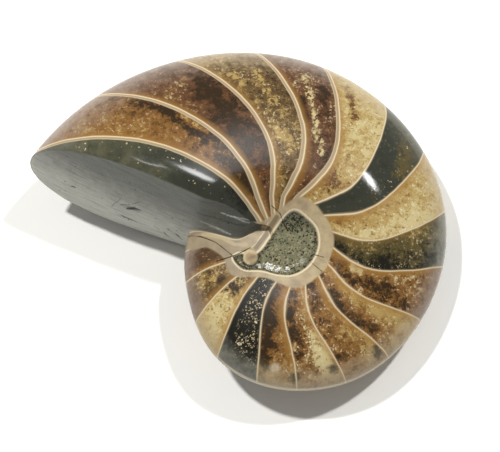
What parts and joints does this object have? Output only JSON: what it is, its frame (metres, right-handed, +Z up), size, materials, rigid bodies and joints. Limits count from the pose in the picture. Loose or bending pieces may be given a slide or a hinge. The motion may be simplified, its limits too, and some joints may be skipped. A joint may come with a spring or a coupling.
{
  "type": "polished fossil nautilus",
  "caption": "Polished fossil nautilus stone, a coiled two-sided shell with septa, a filled umbilicus and a stone-grey broken end, lying on its flank.",
  "frame": {"origin": "middle of the bounding box, on the surface the fossil rests on", "axes": "+Z up from the resting surface; +X along the longest extent, from the broken tip to the coil; +Y towards the high back of the shell"},
  "size_m": [0.1116, 0.0944, 0.0324],
  "materials": {
    "polished_fossil": "polished brown calcite with cream septa and grey-green stone"
  },
  "bodies": {
    "root": {"nautilus_fossil": "polished_fossil"}
  },
  "joints": []
}
